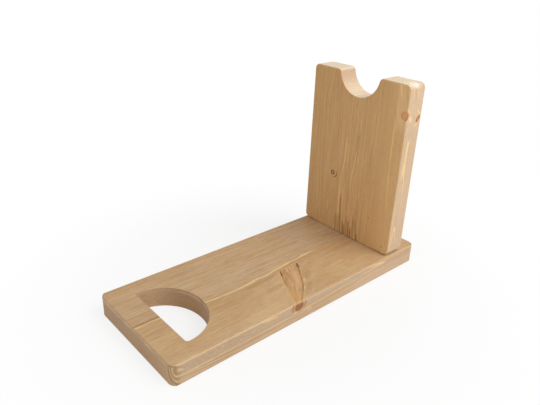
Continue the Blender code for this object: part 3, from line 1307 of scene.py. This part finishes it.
flame = shade(242, 208, 144)
upright_front_streaks = (
    # light and orange lines, from the far side to the near side
    ((118, 7.8), (100, 7.6), (77, 10.6), 0.8, 1.0, 0.8, light_line),
    ((80, 11.0), (48, 10.8), (18, 9.4), 0.9, 0.8, 0.85, light_line),
    ((74, 5.0), (50, 6.2), (20, 4.4), 0.7, 1.0, 0.6, light_line),
    ((48, 24.2), (36, 23.8), 0.8, 1.2, 0.5, light_line),
    ((25, 13.6), (18, 14.4), 0.7, 0.8, 0.7, light_line),
    ((107, -5.0), (90, -3.2), (72, -0.8), 0.9, 1.0, 0.6, light_line),
    ((78, -1.2), (66, -1.6), 0.8, 1.0, 0.7, shade(228, 184, 116)),
    ((144, -6.8), (118, -5.8), 0.7, 1.2, 0.5, light_line),
    ((160, -14.4), (130, -14.6), (108, -15.6), 0.8, 1.2, 0.55, shade(216, 164, 104)),
    ((165, -23.2), (140, -24.2), (112, -24.6), 0.9, 1.2, 0.6, shade(218, 178, 112)),
    ((140, -40.6), (122, -41.2), (104, -41.3), 1.0, 0.7, 0.9, light_line),
    ((110, -41.2), (86, -42.2), (58, -44.6), 0.9, 0.9, 0.7, light_line),
    ((68, -38.6), (42, -39.6), (18, -41.8), 1.9, 1.2, 0.55, shade(216, 172, 128)),
    ((30, -11.6), (18, -13.4), 0.7, 0.8, 0.7, light_line),
    # the lines in the lighter band beside the corner
    ((172.4, -47.0), (164, -49.2), (154, -51.3), 0.4, 0.5, 0.5, shade(186, 142, 84)),
    ((171.4, -48.9), (163, -50.5), (157, -51.5), 0.35, 0.5, 0.5, shade(182, 138, 82)),
    ((171.6, -49.9), (163, -51.3), 0.5, 0.6, 0.6, shade(240, 196, 120)),
    ((172.8, -41.8), (168, -43.0), (162, -44.6), 1.2, 0.7, 0.75, shade(248, 202, 138)),
    ((159, -41.4), (150, -42.2), (142.6, -45.2), 1.8, 0.9, 0.45, shade(236, 190, 136)),
    ((158.5, -40.7), (150, -40.2), (143.4, -42.4), 0.45, 0.6, 0.5, shade(182, 136, 84)),
    ((144.4, -44.4), (142.9, -48.8), 1.0, 0.8, 0.6, shade(240, 194, 136)),
    # dark lines that rise from the foot, and the soft darkening between them, partly wood and partly painted
    # shade
    ((60, 8.8), (36, 7.2), (12, 5.0), 1.5, 0.8, 0.5, foot_lines_and_shade),
    ((33, 3.9), (12, 1.0), 1.2, 0.9, 0.6, foot_lines_and_shade),
    ((30, 1.4), (12, 0.4), 1.0, 0.9, 0.55, foot_lines_and_shade),
    ((36, -3.8), (26, -4.2), (10, -5.4), 1.2, 0.9, 0.75, foot_lines_and_shade),
    ((30, -6.6), (10, -7.6), 1.1, 0.9, 0.75, foot_lines_and_shade),
    ((40, -11.8), (28, -13.0), (10, -16.0), 1.0, 0.9, 0.65, foot_lines_and_shade),
    ((62, -11.6), (36, -12.8), 0.7, 1.2, 0.4, foot_lines_and_shade),
    ((26, -14.6), (11, -15.4), 1.0, 0.9, 0.7, foot_lines_and_shade),
    ((38, 12.6), (12, 12.8), 1.0, 1.0, 0.45, foot_lines_and_shade),
    # the broad soft ones below are partly painted shade near the foot
    ((44, -9.2), (10, -10.6), 1.6, 1.4, 0.35, foot_lines_and_shade),
    ((38, 9.8), (10, 9.0), 2.4, 1.4, 0.3, foot_lines_and_shade),
    ((40, -1.2), (10, -1.8), 2.2, 1.4, 0.3, foot_lines_and_shade),
    # the crescent under the small ring knot, and two specks
    ((79.4, 16.4), (74.4, 16.8), (72.0, 20.6), 0.9, 0.6, 0.8, shade(132, 94, 54)),
    ((73.6, 25.4), (78.0, 24.6), 1.0, 0.8, 0.5, light_line),
    ((48.0, -26.0), (46.2, -26.2), 0.8, 0.2, 0.75, shade(128, 84, 48)),
    ((26.4, -44.4), (24.4, -44.4), 0.8, 0.2, 0.75, shade(116, 76, 44)),
)
upright_side_streaks = (
    # the pointed flames of the innermost rings
    ((129.4, -97.6), (120.0, -99.0), 0.7, 0.6, 0.65, flame),
    ((131.6, -101.9), (121.0, -99.5), 0.7, 0.6, 0.65, flame),
    ((127.5, -99.6), (113, -98.6), (93, -98.0), 1.4, 0.4, 0.95, shade(248, 214, 144)),
    ((126.5, -99.5), (115.5, -99.0), 1.7, 0.5, 0.85, shade(248, 216, 150)),
    ((108.5, -98.3), (91.5, -98.2), 2.8, 0.6, 0.8, shade(245, 213, 154)),
    ((99, -96.9), (90, -96.1), 0.7, 0.5, 0.7, shade(242, 206, 144)),
    ((99, -99.7), (80, -101.6), 0.8, 0.5, 0.8, shade(242, 206, 144)),
    ((97, -98.2), (87, -98.7), 0.8, 0.5, 0.65, shade(198, 160, 118)),
    ((90, -101.6), (80, -101.6), (66, -102.6), 0.9, 0.8, 0.4, shade(236, 202, 144)),
    ((76, -93.7), (48, -93.0), (18, -93.4), 1.4, 0.4, 0.65, shade(232, 198, 142)),
    ((47.6, -97.7), (42.0, -97.4), 1.2, 0.3, 0.95, shade(248, 216, 152)),
    ((46.0, -97.4), (38.0, -96.3), (26.0, -94.5), 0.8, 0.4, 0.85, shade(242, 208, 148)),
    ((46.0, -98.0), (40.0, -99.3), (32.0, -100.5), 0.7, 0.4, 0.75, shade(242, 208, 148)),
    ((42.6, -98.0), (33.0, -98.5), 0.9, 0.5, 0.5, shade(204, 170, 132)),
    # the light wood round the two knots
    ((154.6, -92.9), (149, -95.0), (143, -98.4), 2.2, 2.0, 0.6, shade(246, 220, 172)),
    ((148.0, -95.2), (142.2, -99.4), 2.4, 1.8, 0.5, shade(248, 222, 168)),
    ((152.8, -105.8), (150, -107.4), (147.6, -110.6), 1.2, 0.9, 0.7, shade(246, 214, 156)),
    ((141.2, -107.4), (139.4, -105.6), (138.4, -103.6), 1.1, 0.9, 0.7, shade(246, 214, 156)),
    # upright lines below the end
    ((172.4, -96.0), (168, -97.2), (160, -98.2), 0.8, 0.9, 0.6, shade(242, 208, 150)),
    ((172.4, -101.6), (160, -105.2), 0.8, 1.0, 0.55, shade(242, 210, 154)),
    ((171.0, -105.0), (159, -109.2), 0.7, 1.0, 0.5, shade(240, 208, 152)),
    ((171.0, -99.0), (158, -101.6), 0.7, 0.9, 0.5, shade(196, 160, 122)),
)
ring_grey = shade(184, 152, 118)
ring_brown = shade(172, 140, 108)
ring_dark = shade(160, 128, 98)
upright_corner_lines = (
    # rings that show on the near end of the top
    ((173.5, -45.2, -105.6), (173.2, -48.8, -107.2), (170.8, -51.4, -105.6), 0.75, 0.4, 0.75, ring_grey),
    ((173.4, -44.2, -108.8), (172.8, -49.4, -110.2), (169, -52, -108.6), 0.75, 0.4, 0.85, ring_brown),
    ((173.5, -42.4, -111.2), (172.2, -50.4, -111.7), (168, -52, -110.8), 0.7, 0.4, 0.8, ring_dark),
    ((173.5, -26.0, -104.0), (173.5, -42.0, -102.6), 0.45, 0.8, 0.55, shade(204, 174, 136)),
    ((173.5, -30.0, -98.6), (173.5, -44.0, -97.4), 0.4, 0.8, 0.45, shade(208, 180, 144)),
    # lines round and across the two knots
    ((144.9, -51.0, -92.6), (147.2, -51.9, -93), (151.2, -51.5, -92.8), 0.9, 0.6, 0.75, shade(170, 106, 58)),
    ((144.4, -49.2), (145.4, -51.4), (148.8, -52.6), 0.7, 0.6, 0.75, shade(176, 116, 66)),
    ((151.4, -48.2), (149.2, -46.6), (146.0, -47.2), 0.45, 0.6, 0.6, shade(186, 130, 80)),
    ((150.0, -49.6), (148.2, -48.2), (146.6, -49.4), 0.4, 0.6, 0.5, shade(238, 188, 136)),
    ((142.9, -52.0, -106.9), (145.9, -52.0, -108.5), 0.7, 0.6, 0.7, shade(212, 162, 108)),
)
# middle of the painted highlight at the near corner of the top
corner_highlight_middle = (173.5, -48.4, -101.2)


def upright_radius(wood):
    """Radius of the growth rings round a pith that drifts as it rises."""
    centred = wood.pushed - upright_pith_low
    for drift, start, end in upright_pith_drifts:
        centred = centred - stretch(drift, fade(parts_of(centred)[0], start, end))
    return place(ring_radius, centred, Waviness=0.5)["Radius"] - wood.lift * 0.4


def upright_rings(wood, colour):
    """Rings and long fibres, bold in the middle of the front and on the sides."""
    across = wood.across
    striped = fade(across, -32.0, -22.0, 0.2, 1.0) * fade(across, 14.0, 28.0, 1.0, 0.5)
    bold = largest(striped * 0.55, wood.side_face * 0.65)
    lined = striped * 0.4
    colour = lay(colour, wood.rings["Pale"] * bold, shade(232, 190, 124))
    colour = lay(colour, wood.rings["Dark"] * bold, shade(172, 128, 78))
    colour = lay(colour, fade(wood.grain["Long"], 0.45, 0.7) * lined, shade(172, 128, 80))
    colour = lay(colour, fade(wood.grain["Long"], 0.5, 0.3) * lined, shade(220, 176, 124))
    colour = lay(colour, fade(wood.grain["Fine"], 0.5, 0.72), shade(164, 122, 80), 0.35)
    return lay(colour, fade(wood.grain["Broad"], 0.5, 0.75), shade(220, 178, 126), 0.4)


def upright_near_side(wood, colour):
    """The lighter band on the front beside the near corner, the paler near side, and a painted shade low on
    that side by the base.
    """
    band = fade(wood.across, -40.4, -41.4) * fade(wood.along, 130.0, 141.0)
    colour = lay(colour, fade(wood.across, -30.0, -42.0), shade(238, 188, 122), 0.2)
    colour = lay(colour, band, shade(232, 190, 138), 0.6)
    colour = lay(colour, wood.side_face, shade(217, 192, 168), 0.6)
    # painted shade: the near side darker towards the foot, where the base shades it
    return lay(colour, wood.side_face * fade(wood.along, 60.0, 22.0), shade(198, 167, 134), 0.35)


def upright_ends(wood, colour):
    """The pale sanded end grain, laid paler partly as painted light for the bright top, its rings, and a
    painted highlight on its near corner.
    """
    # partly painted light: the end grain on top laid pale, also standing for the strong light from above
    colour = lay(colour, wood.end_face, shade(238, 222, 195), 0.7)
    # painted highlight: a whitish spot where the rounded near corner of the top catches the light
    painted_corner_highlight = fade(length_of(wood.spot - corner_highlight_middle), 6.4, 1.8)
    colour = lay(colour, painted_corner_highlight, shade(250, 246, 238), 0.75)
    colour = lay(colour, wood.rings["Dark"] * wood.end_face, shade(208, 178, 142), 0.45)
    return lay(colour, wood.rings["Pale"] * wood.end_face, shade(252, 244, 224), 0.7)


def upright_pine():
    """Stained pine of the upright, with the grain standing up and the pith just inside its near side."""
    wood = board_wood("upright_pine_stained", 90, upright_knots)
    wood.radius = upright_radius(wood)
    ring = ring_number(wood.radius, upright_ring_edges, upright_reach)
    least = fade(wood.radius, 9.0, 14.0, 0.9, 0.12)
    wood.rings = place(year_rings, wood.spot, Ring=ring, Seed=40.0, Least=least)

    colour = ramp(wood.radius / upright_reach, upright_tones)
    colour = lay(colour, wood.grain["Blotches"], shade(204, 158, 104), 0.45)
    for paint_over in (upright_rings, upright_near_side, upright_ends):
        colour = paint_over(wood, colour)
    colour = lay(colour, wood.grain["Canals"], shade(118, 82, 50), 0.3)
    colour = lay_worn_edges(
        wood, colour, "upright_board", 90, shade(230, 202, 162),
        Reach=(2.0, 1.2, 1.2), Posts=0.5, Arrises=0.35, Cut_Ends=0.5,
    )
    colour = lay_streaks(colour, wood.spot, on_face(2, upright_front, upright_front_streaks))
    colour = lay_streaks(colour, wood.spot, on_face(1, upright_near, upright_side_streaks))
    colour = lay_knots(wood, colour, upright_knots)
    colour = lay_streaks(colour, wood.spot, on_face(2, upright_front, upright_corner_lines))
    return finish_wood(wood, colour)


def zinc_plate():
    """Bright zinc on the screws, with turning marks and dulled patches."""
    material, tree, shader = new_material("zinc_plated_steel")
    spot, _ = grain_space(tree, 0)
    dull = fade(mottle(spot, 0.5, 0.5, 3.0), 0.35, 0.7)
    join(shader.inputs["Base Color"], tint(dull, shade(222, 218, 208), shade(196, 190, 172)))
    join(shader.inputs["Roughness"], dull * 0.16 + 0.24)
    shader.inputs["Metallic"].default_value = 1.0
    turning_marks = mottle(spot * (1.0, 1.0, 22.5), 0.4, 0.4)
    fine_relief(shader, turning_marks, 0.02)
    return material


def dress(piece, node, material):
    """Gives a piece its material and body, and hides the CAD node it replaces."""
    piece.data.materials.clear()
    piece.data.materials.append(material)
    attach(piece, "root")
    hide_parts(node)


# Studio: pale floor, soft light and the photograph's view
view_place = (-0.269839, -0.294128, 0.268716)
view_azimuth = 0.7330236
view_elevation = -0.4435016
view_roll = 0.0375110
view_lens = 36.096
lamp_aim = (0, 0, 0.05)
floor_drop = 0.0002


def make_camera():
    """The camera where the photograph was taken from."""
    data = bpy.data.cameras.new("view")
    camera = bpy.data.objects.new("view", data)
    bpy.context.scene.collection.objects.link(camera)
    flat = math.cos(view_elevation)
    forward = Vector((
        flat * math.sin(view_azimuth),
        flat * math.cos(view_azimuth),
        math.sin(view_elevation),
    ))
    camera.rotation_mode = "QUATERNION"
    camera.rotation_quaternion = forward.to_track_quat("-Z", "Y") @ Quaternion((0, 0, 1), view_roll)
    camera.location = view_place
    data.sensor_width = 36.0
    data.lens = view_lens
    data.clip_start = 0.01
    bpy.context.scene.camera = camera


def make_lamp(name, stand, size, power):
    """A large soft lamp that faces the holder."""
    data = bpy.data.lights.new(name, "AREA")
    data.shape = "SQUARE"
    data.size = size
    data.energy = power
    lamp = bpy.data.objects.new(name, data)
    bpy.context.scene.collection.objects.link(lamp)
    lamp.location = stand
    lamp.rotation_mode = "QUATERNION"
    lamp.rotation_quaternion = (Vector(lamp_aim) - Vector(stand)).to_track_quat("-Z", "Y")


def seen_directly(tree):
    """One where a ray comes from the camera, a mirror or glass."""
    path = tree.nodes.new("ShaderNodeLightPath").outputs
    kinds = ("Is Camera Ray", "Is Glossy Ray", "Is Transmission Ray")
    return largest(*[Wired(path[kind]) for kind in kinds])


def show_white(tree, share, plain, white, surface):
    """Lets a white shader take the plain one's place by a share."""
    blend = new_node(tree, "MixShader", share, Wired(plain.outputs[0]), Wired(white.outputs[0]))
    join(surface, Wired(blend.outputs[0]))


def make_floor():
    """A pale floor that keeps a soft shadow near the holder and is white further out."""
    clear_selection()
    bpy.ops.mesh.primitive_plane_add(size=8.0, location=(0, 0, -floor_drop))
    floor = bpy.context.active_object
    floor.name = "floor"
    material, tree, shader = new_material("pale_floor")
    shader.inputs["Base Color"].default_value = (0.9, 0.9, 0.9, 1.0)
    shader.inputs["Roughness"].default_value = 0.8
    shader.inputs["Specular IOR Level"].default_value = 0.0
    glow = new_node(tree, "Emission")
    glow.inputs["Strength"].default_value = 1.0
    distance = length_of(Wired(tree.nodes.new("ShaderNodeTexCoord").outputs["Object"]))
    share = fade(distance, 0.08, 0.26, 0.76, 1.0) * seen_directly(tree)
    show_white(tree, share, shader, glow, tree.nodes["Material Output"].inputs["Surface"])
    floor.data.materials.append(material)


def make_world():
    """White behind everything, and a plain soft light all round."""
    world = bpy.data.worlds.new("studio")
    world.use_nodes = True
    bpy.context.scene.world = world
    tree = world.node_tree
    soft = tree.nodes["Background"]
    white = new_node(tree, "Background")
    for light, strength in ((soft, 0.4), (white, 1.0)):
        light.inputs["Color"].default_value = (1, 1, 1, 1)
        light.inputs["Strength"].default_value = strength
    show_white(tree, seen_directly(tree), soft, white, tree.nodes["World Output"].inputs["Surface"])


make_camera()
make_floor()
make_world()
make_lamp("key_lamp", (0.45, -1.0, 1.45), 1.2, 20.5)
make_lamp("fill_lamp", (-1.5, -0.35, 0.75), 1.0, 4.6)
bpy.context.scene.view_settings.view_transform = "Standard"

dress(make_base(), "base_board", base_pine())
dress(make_upright(), "upright_board", upright_pine())
zinc = zinc_plate()
for node, turn in (("screw_near", 18.0), ("screw_far", 52.0)):
    dress(make_screw(node, turn), node, zinc)

clear_selection()
